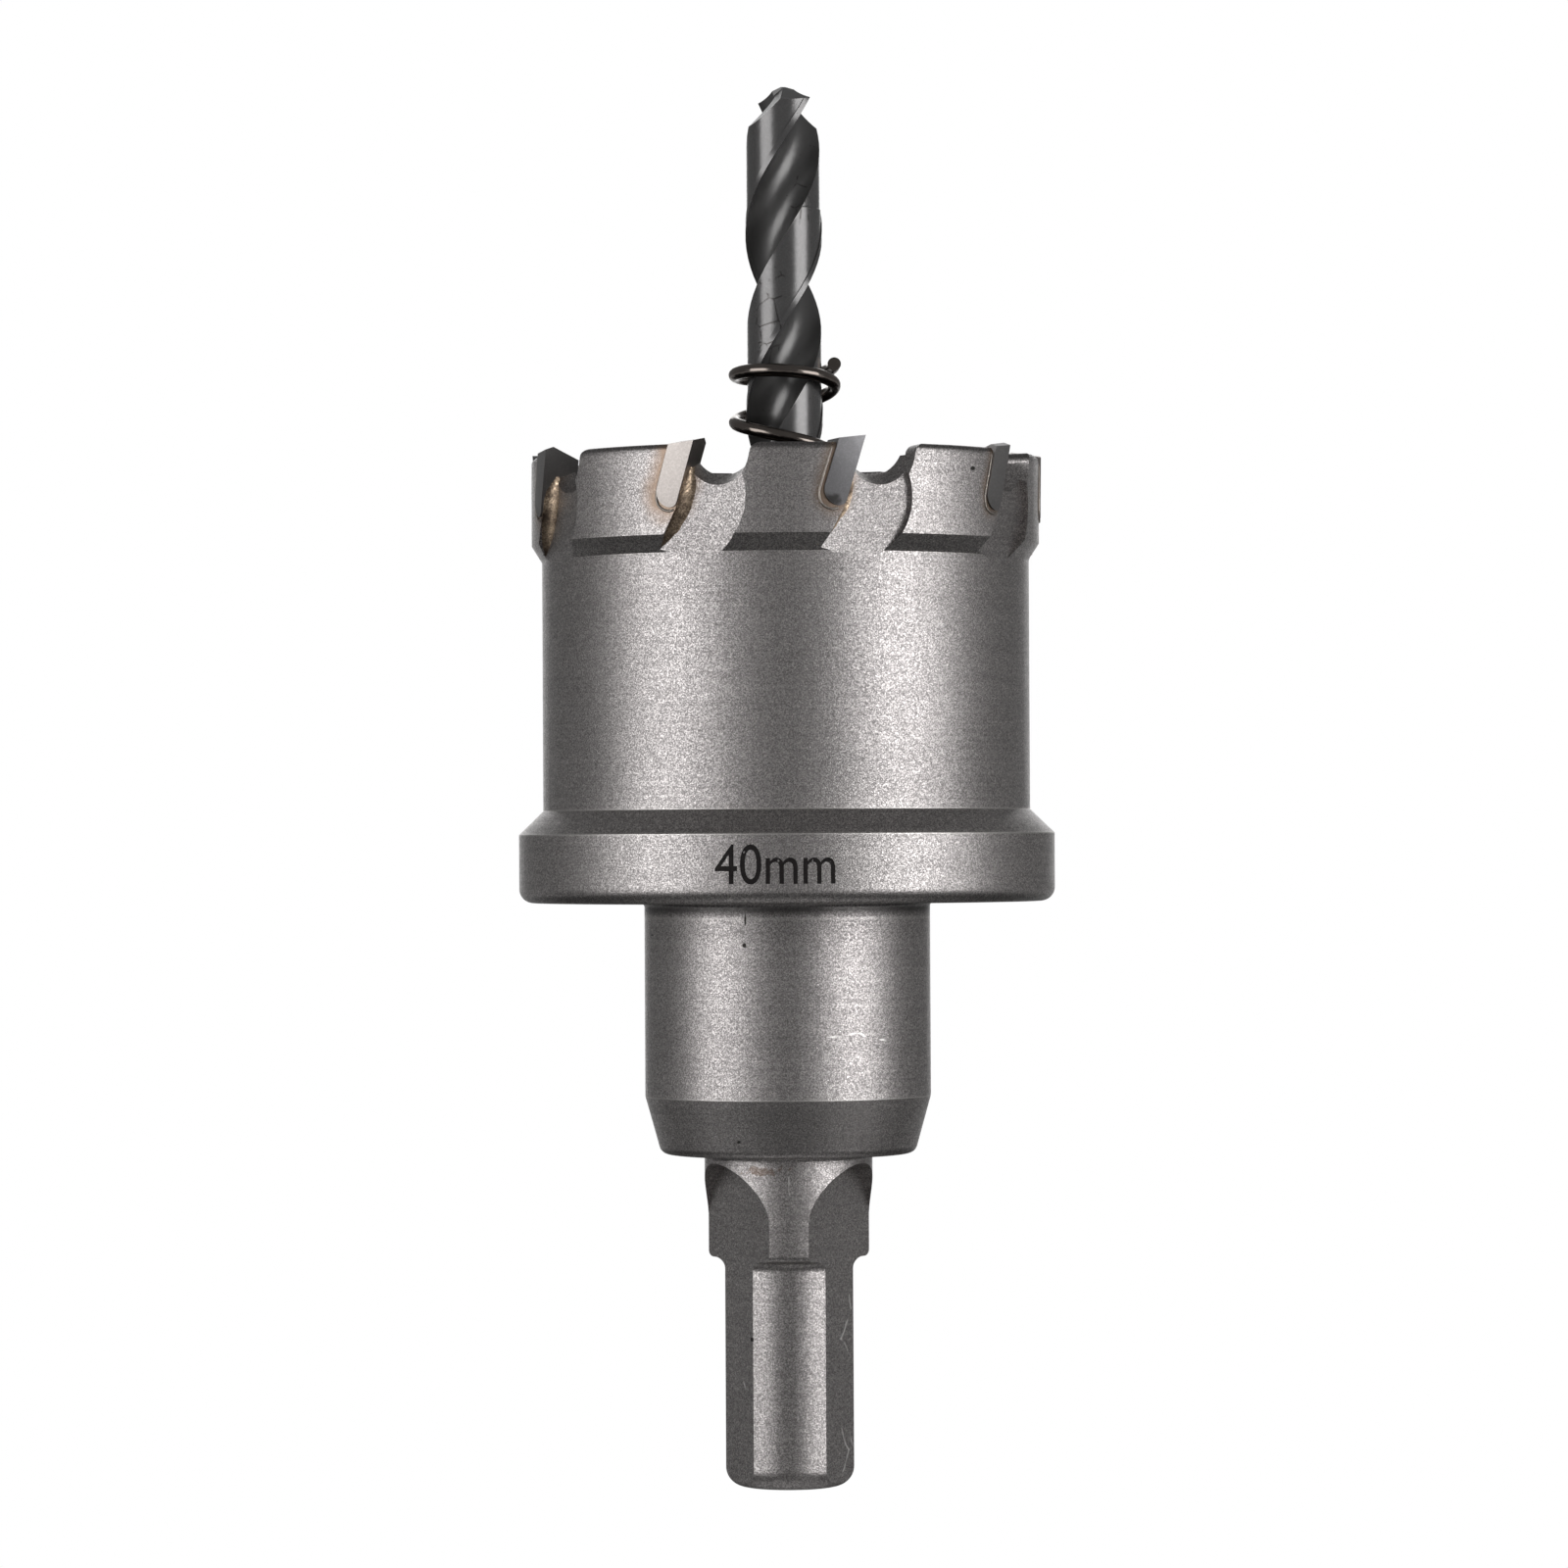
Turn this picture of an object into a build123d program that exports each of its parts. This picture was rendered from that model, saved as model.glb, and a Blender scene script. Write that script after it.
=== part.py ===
# A 40 mm hole saw with brazed carbide tips, a pilot drill and an ejector spring, in millimetres.
# +Z runs from the shank to the drill point, and the origin is the centre of the shank's end face.

from build123d import *
from math import cos, degrees, radians, sin, sqrt, tan
import os

os.makedirs("parts", exist_ok=True)

# The circle that the tips cut. The rim stands inside it, and the depth stop outside it.
cutting_diameter = 40.0
tip_stand = 0.2
flange_stand = 0.9

# Shank, from its end face upwards
shank_diameter = 10.0
shank_length = 17.75
shank_end_radius = 1.5
shoulder_radius = 0.8
neck_diameter = 13.1
neck_length = 8.15
neck_edge_radius = 0.5
flat_count = 3
flat_distance = 4.5
flat_length = 25.25
flat_mill_radius = 4.8

# Hub
hub_diameter = 22.3
hub_foot_diameter = 19.8
hub_taper_length = 4.5
hub_length = 19.6
hub_edge_radius = 0.75
turning_radius = 0.4

# Depth-stop flange
flange_rim_height = 5.3
flange_bevel_height = 1.85
flange_edge_radius = 1.1

# Cup and the thicker band round its rim
cup_wall = 1.6
cup_length = 19.35
cup_floor_thickness = 4.7
cup_floor_radius = 1.0
band_step = 0.8
band_bevel_height = 1.3
band_height = 6.8
band_edge_radius = 0.5
band_bore_edge_radius = 0.2

# Carbide tips, with the uneven gaps between them in degrees; the last gap closes the circle
tip_bore_stand = 0.2
tip_width = 1.9
tip_length = 5.7
tip_toe_radius = 0.6
tip_heel_radius = 1.2
tip_rise = 0.5
tip_lean = 17.0
tip_relief = 6.5
tip_side_taper = 0.1
first_tip_angle = -66.3
tip_gaps = (46.5, 37.5, 42.0, 34.3, 44.0, 40.5, 44.8, 39.5)

# Three grinds follow each other round the rim, so that each tip takes its own chip:
# the peak's distance from the cutting corner, its slope outwards and its slope inwards
tip_grinds = ((0.6, 18.0, 23.0), (2.2, 8.0, 30.0), (0.0, 0.0, 0.0))

# Gullet through the wall ahead of each tip, and the chip scoop milled into the band below it
gullet_radius = 2.7
gullet_width = 4.15
gullet_depth = 3.15
gullet_rise = 28.0
land_radius = 0.8
scoop_depth = 0.95
scoop_width = 3.85
scoop_side_radius = 5.0
scoop_widest_depth = 4.0
scoop_mouth_depth = 2.0
scoop_corner_radius = 0.8
scoop_overrun = 0.15
scoop_foot_lean = 28.0

# Ahead of the first tip the gullet and scoop are wider, by a second pass turned this far
wide_gullet_turn = 2.2

# Pilot drill, measured down from its point where not said otherwise
drill_diameter = 6.0
drill_length = 80.0
drill_reach = 29.1
drill_end_chamfer = 0.5
flute_length = 57.0
flute_pitch = 28.4
flute_angle = 92.8
flute_runout = 6.0
flute_side_depth = 15.35
web_thickness = 1.3
margin_width = 0.5
margin_height = 0.1
nose_diameter = 5.66
nose_length = 9.6
point_angle = 135.0
lip_angle = -60.0
lip_relief = 10.0
notch_turn = 34.4
notch_relief = 45.5
notch_wall_turn = 24.0
chisel_length = 0.24
screw_flat_depth = 0.35
screw_flat_length = 8.0
bore_point_angle = 118.0

# Set screw in the back of the hub
screw_diameter = 6.0
screw_length = 6.0
screw_height = 11.0
screw_socket = 3.0
screw_socket_depth = 2.5
screw_chamfer = 0.5
screw_sink = 0.5

# Ejector spring: a closed coil on the cup's floor, open coils, and a nearly closed one at the top
wire_diameter = 1.05
spring_diameter = 8.85
spring_foot_pitch = 1.1
spring_pitch = 5.66
spring_turns = 6
spring_top_pitch = 1.7
spring_top_tilt = 6.6

# Clearances
bore_clearance = 0.05
screw_clearance = 0.05
spring_clearance = 0.05

# Heights that follow from the lengths
hub_foot = shank_length + neck_length
flange_foot = hub_foot + hub_length
flange_top = flange_foot + flange_rim_height
cup_foot = flange_top + flange_bevel_height
cup_floor = flange_foot + cup_floor_thickness
band_foot = cup_foot + cup_length
band_top = band_foot + band_bevel_height + band_height
tip_top = band_top + tip_rise
drill_top = band_top + drill_reach
drill_foot = drill_top - drill_length
flute_foot = drill_top - flute_length
screw_level = hub_foot + screw_height

# Radii that follow from the diameters
tip_outer_radius = cutting_diameter / 2
flange_radius = tip_outer_radius + flange_stand
band_radius = tip_outer_radius - tip_stand
cup_radius = band_radius - band_step
cup_bore = cup_radius - cup_wall
tip_inner_radius = cup_bore - tip_bore_stand
drill_radius = drill_diameter / 2
drill_bore = drill_radius + bore_clearance
scoop_floor = band_radius - scoop_depth
beyond_rim = tip_outer_radius + 1.0
within_bore = tip_inner_radius - 1.0
above_rim = tip_top + 2.0
rim_thickness = beyond_rim - within_bore
beyond_drill = drill_radius + 1.0
above_drill = drill_top + 1.0

tip_angles = [first_tip_angle + sum(tip_gaps[:i]) for i in range(len(tip_gaps) + 1)]
at_each_tip = [Location((0, 0, 0), (0, 0, angle)) for angle in tip_angles]


# The tip at angle 0 faces -Y. Its front face leans, and everything at the rim is set out from
# the cutting corner, where that face meets the outside.
rake_plane = Plane(
    origin=(0, 0, tip_top),
    x_dir=(sin(radians(tip_lean)), 0, cos(radians(tip_lean))),
    z_dir=(cos(radians(tip_lean)), 0, -sin(radians(tip_lean))),
)
rake_foot_side = -tip_length * sin(radians(tip_lean))
rake_foot_height = tip_top - tip_length * cos(radians(tip_lean))


# Gullet: a round cutter that rises towards the bore, with a mouth rounded into the next land
gullet_centre = gullet_width - gullet_radius
gullet_level = band_top - gullet_depth + gullet_radius / cos(radians(gullet_rise))
gullet_plane = Plane(
    origin=(gullet_centre, -scoop_floor, gullet_level),
    x_dir=(1, 0, 0),
    z_dir=(0, -cos(radians(gullet_rise)), -sin(radians(gullet_rise))),
)
mouth_side = gullet_width + land_radius
mouth_level = band_top - land_radius
mouth_width = 2 * gullet_width

with BuildPart() as gullet_cutter:
    with BuildSketch(gullet_plane):
        Circle(gullet_radius)
    extrude(amount=rim_thickness, both=True)
    with BuildSketch(Plane.XZ.offset(within_bore)):
        with Locations((mouth_side, mouth_level)):
            Rectangle(mouth_width, above_rim - mouth_level, align=(Align.MAX, Align.MIN))
            Circle(land_radius, mode=Mode.SUBTRACT)
    extrude(amount=rim_thickness)
    split(bisect_by=rake_plane, keep=Keep.TOP)


# Scoop: a flat-bottomed pocket whose left side follows the leaning tip and then its foot, and
# whose right side is one round that ends in a straight mouth
scoop_bottom = band_foot - scoop_overrun
scoop_side_centre = scoop_width - scoop_side_radius
widest_level = band_top - scoop_widest_depth
scoop_mouth_level = band_top - scoop_mouth_depth
scoop_foot_side = rake_foot_side - (rake_foot_height - scoop_bottom) * tan(radians(scoop_foot_lean))
rake_above_rim = (above_rim - tip_top) * tan(radians(tip_lean))


def scoop_side(level):
    """How far the scoop's round right side lies from the cutting corner at this level."""
    return scoop_side_centre + sqrt(scoop_side_radius**2 - (level - widest_level) ** 2)


with BuildPart() as scoop_cutter:
    with BuildSketch(Plane.XZ.offset(scoop_floor)) as scoop_outline:
        with BuildLine():
            Polyline(
                (scoop_side(scoop_mouth_level), scoop_mouth_level),
                (scoop_side(scoop_mouth_level), above_rim),
                (rake_above_rim, above_rim),
                (rake_foot_side, rake_foot_height),
                (scoop_foot_side, scoop_bottom),
                (scoop_side(scoop_bottom), scoop_bottom),
            )
            ThreePointArc(
                (scoop_side(scoop_bottom), scoop_bottom),
                (scoop_width, widest_level),
                (scoop_side(scoop_mouth_level), scoop_mouth_level),
            )
        make_face()
        bottom_corners = scoop_outline.vertices().group_by(Axis.Y)[0]
        fillet(bottom_corners.sort_by(Axis.X)[-1], scoop_corner_radius)
    extrude(amount=beyond_rim - scoop_floor)


# Seat: the tip's own outline, a leaning bar with a round foot, taken through the whole wall
with BuildPart() as seat_cutter:
    with BuildSketch(Plane.XZ.offset(within_bore)) as tip_outline:
        with Locations(Location((rake_foot_side, rake_foot_height, 0), (0, 0, -tip_lean))):
            Rectangle(tip_width, 2 * tip_length, align=(Align.MAX, Align.MIN))
        toe, heel = tip_outline.vertices().sort_by(Axis.Y)[:2]
        fillet(toe, tip_toe_radius)
        fillet(tip_outline.vertices().sort_by_distance(heel)[0], tip_heel_radius)
    extrude(amount=rim_thickness)


# Flat of the shank, run in from the end with an end mill that leaves its round in the neck
with BuildPart() as flat_cutter:
    with BuildSketch(Plane((0, flat_distance, 0), x_dir=(-1, 0, 0), z_dir=(0, 1, 0))):
        with Locations((0, flat_length - flat_mill_radius)):
            Circle(flat_mill_radius)
            Rectangle(2 * flat_mill_radius, flat_length, align=(Align.CENTER, Align.MAX))
    extrude(amount=neck_diameter)


# Cutter body: shank, hub, flange and cup turned from one bar, then milled
body_profile = [
    ((0, 0), 0),
    ((shank_diameter / 2, 0), shank_end_radius),
    ((shank_diameter / 2, shank_length), shoulder_radius),
    ((neck_diameter / 2, shank_length), neck_edge_radius),
    ((neck_diameter / 2, hub_foot), turning_radius),
    ((hub_foot_diameter / 2, hub_foot), hub_edge_radius),
    ((hub_diameter / 2, hub_foot + hub_taper_length), 0),
    ((hub_diameter / 2, flange_foot), turning_radius),
    ((flange_radius, flange_foot), flange_edge_radius),
    ((flange_radius, flange_top), 0),
    ((cup_radius, cup_foot), 0),
    ((cup_radius, band_foot), 0),
    ((band_radius, band_foot + band_bevel_height), 0),
    ((band_radius, band_top), band_edge_radius),
    ((cup_bore, band_top), band_bore_edge_radius),
    ((cup_bore, cup_floor), cup_floor_radius),
    ((drill_bore, cup_floor), 0),
    ((drill_bore, drill_foot), 0),
    ((0, drill_foot - drill_bore / tan(radians(bore_point_angle / 2))), 0),
]

with BuildPart() as cutter_body:
    with BuildSketch(Plane.XZ):
        with BuildLine():
            FilletPolyline(*[at for at, _ in body_profile], radius=[r for _, r in body_profile], close=True)
        make_face()
    revolve(axis=Axis.Z)

    # Flats, the first at the back, so that the strip between two of them faces -Y
    with PolarLocations(0, flat_count):
        add(flat_cutter.part, mode=Mode.SUBTRACT)

    # Screw hole from the back of the hub to the drill
    with Locations(Plane((0, hub_diameter / 2, screw_level), x_dir=(-1, 0, 0), z_dir=(0, 1, 0))):
        CounterSinkHole(
            screw_diameter / 2 + screw_clearance,
            screw_diameter / 2 + screw_sink,
            depth=hub_diameter / 2,
            counter_sink_angle=90,
        )

    # Rim
    with Locations(*at_each_tip):
        add(gullet_cutter.part, mode=Mode.SUBTRACT)
        add(scoop_cutter.part, mode=Mode.SUBTRACT)
        add(seat_cutter.part, mode=Mode.SUBTRACT)
    with Locations(Location((0, 0, 0), (0, 0, first_tip_angle + wide_gullet_turn))):
        add(gullet_cutter.part, mode=Mode.SUBTRACT)
        add(scoop_cutter.part, mode=Mode.SUBTRACT)
cutter_body.part.label = "cutter_body"
export_step(cutter_body.part, "parts/cutter_body.step")


def grind_plane(grind, inward):
    """The plane that grinds one side of a tip's top, at angle 0: it falls away behind the front
    face by the relief, and from the peak towards the bore or the outside."""
    peak, outer_slope, inner_slope = grind
    relief = tan(radians(tip_relief))
    fall = tan(radians(inner_slope)) if inward else -tan(radians(outer_slope))
    return Plane(
        origin=(0, peak - tip_outer_radius, tip_top),
        x_dir=(1, 0, relief),
        z_dir=(-relief, fall, 1),
    )


# Carbide tips: the seat's bar trimmed to the kerf, a little proud of the wall on both sides
for number, location in enumerate(at_each_tip):
    tip_grind = tip_grinds[number % len(tip_grinds)]
    with BuildPart() as carbide_tip:
        add(seat_cutter.part)
        with BuildSketch(Plane.XZ):
            Polygon(
                (tip_inner_radius, band_foot),
                (tip_outer_radius - tip_side_taper, band_foot),
                (tip_outer_radius, tip_top),
                (tip_outer_radius, above_rim),
                (tip_inner_radius, above_rim),
                align=None,
            )
        revolve(axis=Axis.Z, mode=Mode.INTERSECT)
        split(bisect_by=grind_plane(tip_grind, inward=True), keep=Keep.BOTTOM)
        split(bisect_by=grind_plane(tip_grind, inward=False), keep=Keep.BOTTOM)
    placed_tip = location * carbide_tip.part
    placed_tip.label = f"carbide_tip_{number + 1}"
    export_step(placed_tip, f"parts/{placed_tip.label}.step")


# Pilot drill section: two round flutes, and lands eased behind a narrow margin at their front
flute_half = flute_angle / 2
flute_centre = (drill_radius**2 - (web_thickness / 2) ** 2) / (
    2 * drill_radius * cos(radians(flute_half)) - web_thickness
)
section_turn = -360 * (flute_length - flute_side_depth) / flute_pitch
eased_radius = drill_radius - margin_height
eased_overlap = 10.0
eased_arc = 180 - flute_angle - degrees(margin_width / drill_radius) + eased_overlap

with BuildSketch(Plane.XY.offset(flute_foot)) as drill_section:
    with Locations(Location((0, 0, 0), (0, 0, section_turn))):
        Circle(drill_radius)
    with PolarLocations(flute_centre, 2, start_angle=section_turn):
        Circle(flute_centre - web_thickness / 2, mode=Mode.SUBTRACT)
    for side in (0, 180):
        eased_start = section_turn + side + flute_half - eased_overlap
        with BuildLine():
            ease = CenterArc((0, 0), eased_radius, eased_start, eased_arc)
            outside = CenterArc((0, 0), beyond_drill, eased_start, eased_arc)
            Line(ease @ 0, outside @ 0)
            Line(ease @ 1, outside @ 1)
        make_face(mode=Mode.SUBTRACT)

fluted_bar = Solid.extrude_linear_with_rotation(
    drill_section.sketch.face(),
    center=(0, 0, flute_foot),
    normal=(0, 0, flute_length),
    angle=360 * flute_length / flute_pitch,
)


def point_plane(turn, relief):
    """A plane ground through the drill's point. It holds the line on the flank that lies this
    turn behind the lip, and falls away behind that line by the relief."""
    along = radians(lip_angle - turn)
    lip_fall = tan(radians(90 - point_angle / 2))
    fall = lip_fall * cos(radians(turn)) + tan(radians(lip_relief)) * sin(radians(turn))
    behind = tan(radians(relief))
    return Plane(
        origin=(0, 0, drill_top),
        z_dir=(
            fall * cos(along) + behind * sin(along),
            fall * sin(along) - behind * cos(along),
            1,
        ),
    )


# Split point: the corner of a wheel takes the heel off behind each flank, up to a wall that
# runs from the chisel edge to the other lip
wall_side = radians(lip_angle + 180 + notch_wall_turn + 90)
notch_wall = Plane(
    origin=(chisel_length / 2 * cos(wall_side), chisel_length / 2 * sin(wall_side), 0),
    z_dir=(cos(wall_side), sin(wall_side), 0),
)

with BuildPart() as notch_cutter:
    with BuildSketch(point_plane(notch_turn, notch_relief)):
        Circle(2 * drill_diameter)
    extrude(amount=drill_diameter)
    split(bisect_by=notch_wall, keep=Keep.TOP)


# Pilot drill. Its round bar runs out as a cone in the flutes, and is turned so that the
# cone's seam stays inside a flute.
runout_turn = section_turn + 180 * flute_runout / flute_pitch

with BuildPart() as pilot_drill:
    add(fluted_bar)
    with Locations(Location((0, 0, flute_foot), (0, 0, runout_turn))):
        Cylinder(drill_radius, flute_foot - drill_foot, align=(Align.CENTER, Align.CENTER, Align.MAX))
        Cone(drill_radius, web_thickness / 2, flute_runout, align=(Align.CENTER, Align.CENTER, Align.MIN))
    chamfer(pilot_drill.faces().sort_by(Axis.Z)[0].edges(), drill_end_chamfer)

    # Nose, ground down behind the point
    nose_foot = drill_top - nose_length
    with BuildSketch(Plane.XZ):
        Polygon(
            (nose_diameter / 2, above_drill),
            (nose_diameter / 2, nose_foot),
            (beyond_drill, nose_foot - beyond_drill + nose_diameter / 2),
            (beyond_drill, above_drill),
            align=None,
        )
    revolve(axis=Axis.Z, mode=Mode.SUBTRACT)

    # Point, with two flanks and two notches
    for side in (0, 180):
        split(bisect_by=point_plane(0, lip_relief).rotated((0, 0, side)), keep=Keep.BOTTOM)
    with PolarLocations(0, 2):
        add(notch_cutter.part, mode=Mode.SUBTRACT)

    # Flat for the set screw
    with BuildSketch(Plane.XZ.offset(screw_flat_depth - drill_radius)):
        with Locations((0, screw_level)):
            Rectangle(drill_diameter, screw_flat_length)
    extrude(amount=-drill_diameter, mode=Mode.SUBTRACT)
pilot_drill.part.label = "pilot_drill"
export_step(pilot_drill.part, "parts/pilot_drill.step")


# Ejector spring, a left-hand coil that starts and ends at +X. Its last turn is tilted up at -Y.
spring_radius = (spring_diameter - wire_diameter) / 2
spring_foot = cup_floor + spring_clearance + wire_diameter / 2
open_foot = spring_foot + spring_foot_pitch
open_length = spring_turns * spring_pitch
last_turn_foot = open_foot + open_length

with BuildPart() as ejector_spring:
    with BuildLine() as wire_line:
        Helix(spring_foot_pitch, spring_foot_pitch, spring_radius, (0, 0, spring_foot), lefthand=True)
        Helix(spring_pitch, open_length, spring_radius, (0, 0, open_foot), lefthand=True)
        last_turn = Helix(
            spring_top_pitch,
            spring_top_pitch,
            spring_radius,
            (0, 0, last_turn_foot),
            lefthand=True,
            mode=Mode.PRIVATE,
        )
        add(last_turn.rotate(Axis((0, 0, last_turn_foot), (1, 0, 0)), -spring_top_tilt))
    coil = wire_line.wire()
    with BuildSketch(Plane(coil @ 0, z_dir=coil % 0)):
        Circle(wire_diameter / 2)
    sweep(path=coil, is_frenet=True)
ejector_spring.part.label = "ejector_spring"
export_step(ejector_spring.part, "parts/ejector_spring.step")


# Set screw, seated on the drill's flat, with its hexagon socket outwards
screw_seat = drill_radius - screw_flat_depth + screw_clearance
with BuildPart() as grub_screw:
    with BuildSketch(Plane((0, screw_seat, screw_level), x_dir=(-1, 0, 0), z_dir=(0, 1, 0))):
        Circle(screw_diameter / 2)
    extrude(amount=screw_length)
    chamfer(grub_screw.edges().filter_by(GeomType.CIRCLE), screw_chamfer)
    with BuildSketch(Plane(grub_screw.faces().sort_by(Axis.Y)[-1])):
        RegularPolygon(screw_socket / 2, 6, major_radius=False)
    extrude(amount=-screw_socket_depth, mode=Mode.SUBTRACT)
grub_screw.part.label = "grub_screw"
export_step(grub_screw.part, "parts/grub_screw.step")
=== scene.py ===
# A 40 mm hole saw with brazed carbide tips, a pilot drill and an ejector spring, in metres.

from math import cos, radians, sin, sqrt, tan

import bpy
from mathutils import Matrix, Quaternion, Vector


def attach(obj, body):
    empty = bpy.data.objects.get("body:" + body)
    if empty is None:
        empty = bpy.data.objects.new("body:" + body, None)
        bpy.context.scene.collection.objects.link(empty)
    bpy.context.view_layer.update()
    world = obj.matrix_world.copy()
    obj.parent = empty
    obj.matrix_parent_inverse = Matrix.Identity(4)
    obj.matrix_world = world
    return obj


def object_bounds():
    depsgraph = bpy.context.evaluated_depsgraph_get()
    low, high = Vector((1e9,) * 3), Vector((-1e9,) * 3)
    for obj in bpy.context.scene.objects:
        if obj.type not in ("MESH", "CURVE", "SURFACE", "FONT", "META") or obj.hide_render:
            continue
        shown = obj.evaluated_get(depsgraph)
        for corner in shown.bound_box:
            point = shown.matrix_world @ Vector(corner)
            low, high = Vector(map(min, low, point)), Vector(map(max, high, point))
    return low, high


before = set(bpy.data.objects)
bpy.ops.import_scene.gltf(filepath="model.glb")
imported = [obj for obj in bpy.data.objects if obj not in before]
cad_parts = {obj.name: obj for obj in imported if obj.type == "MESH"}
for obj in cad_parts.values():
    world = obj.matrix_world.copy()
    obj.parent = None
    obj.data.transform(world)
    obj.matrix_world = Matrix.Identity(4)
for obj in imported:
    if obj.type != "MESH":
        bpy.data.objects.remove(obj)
cad_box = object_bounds()
bpy.ops.object.select_all(action="DESELECT")


# Camera
# It stands level with the saw's middle and as far off as the perspective of the cup's round
# edges says. The saw hangs a third of a degree out of the vertical.
camera_distance = 0.446
camera_height = 0.0501
aim_point = Vector((-0.0002, 0, 0.05469))
sensor_width = 36
focal_length = 131.1
nearest_shown = 0.01
saw_tilt = radians(0.3)

bpy.ops.object.camera_add(location=(0, -camera_distance, camera_height))
camera = bpy.context.object
camera.name = "camera"
camera.data.sensor_width = sensor_width
camera.data.lens = focal_length
camera.data.clip_start = nearest_shown
look = aim_point - camera.location
upright = look.to_track_quat("-Z", "Y")
camera.rotation_mode = "QUATERNION"
camera.rotation_quaternion = Quaternion(look.normalized(), saw_tilt) @ upright
bpy.context.scene.camera = camera
bpy.context.scene.view_settings.view_transform = "Standard"


# Studio
# Two tall soft boxes stand in front of the saw, left and right, and a weaker one behind it. The
# room is dark in front, so that the steel shows both boxes as long soft streaks.

# Each box: its turn round the saw from the front, its distance, height, size and watts
soft_boxes = (
    ("soft_box_left", radians(-55), 0.75, 0.06, (0.52, 0.68), 3.4),
    ("soft_box_right", radians(55), 0.75, 0.06, (0.52, 0.68), 4.2),
    ("soft_box_back", radians(180), 0.9, 0.25, (0.6, 0.6), 1.4),
)
for name, turn, distance, height, size, power in soft_boxes:
    place = Vector((distance * sin(turn), -distance * cos(turn), height))
    to_saw = Vector((0, 0, camera_height)) - place
    bpy.ops.object.light_add(type="AREA", location=place)
    box = bpy.context.object
    box.name = name
    box.data.shape = "RECTANGLE"
    box.data.size, box.data.size_y = size
    box.data.energy = power
    box.rotation_euler = to_saw.to_track_quat("-Z", "Y").to_euler()


def fill_inputs(tree, node, inputs):
    """Fills a node's inputs, given by name or number, with values or other nodes' sockets."""
    for name, value in (inputs or {}).items():
        if isinstance(value, bpy.types.NodeSocket):
            tree.links.new(value, node.inputs[name])
        else:
            node.inputs[name].default_value = value


def add_node(tree, kind, inputs=None, **settings):
    """Adds a shader node."""
    node = tree.nodes.new("ShaderNode" + kind)
    for name, value in settings.items():
        setattr(node, name, value)
    fill_inputs(tree, node, inputs)
    return node


def maths(tree, operation, *values, clamp=False):
    """Works out a number from others."""
    inputs = dict(enumerate(values))
    return add_node(tree, "Math", inputs, operation=operation, use_clamp=clamp).outputs["Value"]


def ramp(tree, value, low, high, at_low=0.0, at_high=1.0, smooth=False, clamp=True):
    """Runs from at_low to at_high while the value runs from low to high."""
    return add_node(tree, "MapRange", {
        "Value": value, "From Min": low, "From Max": high, "To Min": at_low, "To Max": at_high,
    }, interpolation_type="SMOOTHSTEP" if smooth else "LINEAR", clamp=clamp).outputs["Result"]


def tint(tree, colour, other, share):
    """Blends a second colour in by a mask."""
    inputs = {"Factor": share, "A": colour, "B": other}
    return add_node(tree, "Mix", inputs, data_type="RGBA").outputs["Result"]


# The camera sees white all round. The steel mirrors white only from the backdrop, the part of
# the room behind the saw, and dimmer.
white = (1, 1, 1, 1)
room_grey = (0.2, 0.2, 0.2, 1)
mirrored_white = 0.75
backdrop_from = 0.86
backdrop_full = 0.97

world = bpy.data.worlds.new("studio")
bpy.context.scene.world = world
world.use_nodes = True
tree = world.node_tree
ray = add_node(tree, "LightPath")
direction = add_node(tree, "TexCoord")
axes = add_node(tree, "SeparateXYZ", {"Vector": direction.outputs["Generated"]})
backdrop = ramp(tree, axes.outputs["Y"], backdrop_from, backdrop_full, smooth=True)
glossy = maths(tree, "MAXIMUM", ray.outputs["Is Glossy Ray"], ray.outputs["Is Transmission Ray"])
mirrored = maths(tree, "MULTIPLY", glossy, backdrop)
dimmed = maths(tree, "MULTIPLY", mirrored, mirrored_white)
white_share = maths(tree, "MAXIMUM", ray.outputs["Is Camera Ray"], dimmed)
room = tint(tree, room_grey, white, white_share)
tree.links.new(room, tree.nodes["Background"].inputs["Color"])


# Floor
# A pale sweep under the saw. It takes the saw's shadow close by and runs out into the white of
# the backdrop further off, where the photograph shows nothing but white. The saw's undersides
# mirror a dark table, so in a ring round the saw it is dark for all but the camera.
floor_drop = 0.06
floor_size = 12.0
floor_roughness = 0.8
floor_white = (0.86, 0.86, 0.86, 1)
shadow_from = 0.10
shadow_to = 0.19
table_dark = (0.08, 0.08, 0.08, 1)
table_from = 0.02
table_full = 0.10
table_ends = 0.2
table_gone = 0.45


def vector_maths(tree, operation, *vectors):
    """Works out a vector, or for a length, a distance or a dot product a number."""
    node = add_node(tree, "VectorMath", dict(enumerate(vectors)), operation=operation)
    is_number = operation in ("LENGTH", "DISTANCE", "DOT_PRODUCT")
    return node.outputs["Value" if is_number else "Vector"]


def axis_distance(tree):
    """How far each point of a surface lies from the saw's axis."""
    place = add_node(tree, "TexCoord").outputs["Object"]
    return vector_maths(tree, "LENGTH", vector_maths(tree, "MULTIPLY", place, (1, 1, 0)))


def start_finish(name, metallic):
    """A new material, with its node tree and its shader."""
    material = bpy.data.materials.new(name)
    material.use_nodes = True
    shader = material.node_tree.nodes["Principled BSDF"]
    shader.inputs["Metallic"].default_value = metallic
    return material, material.node_tree, shader


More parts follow.
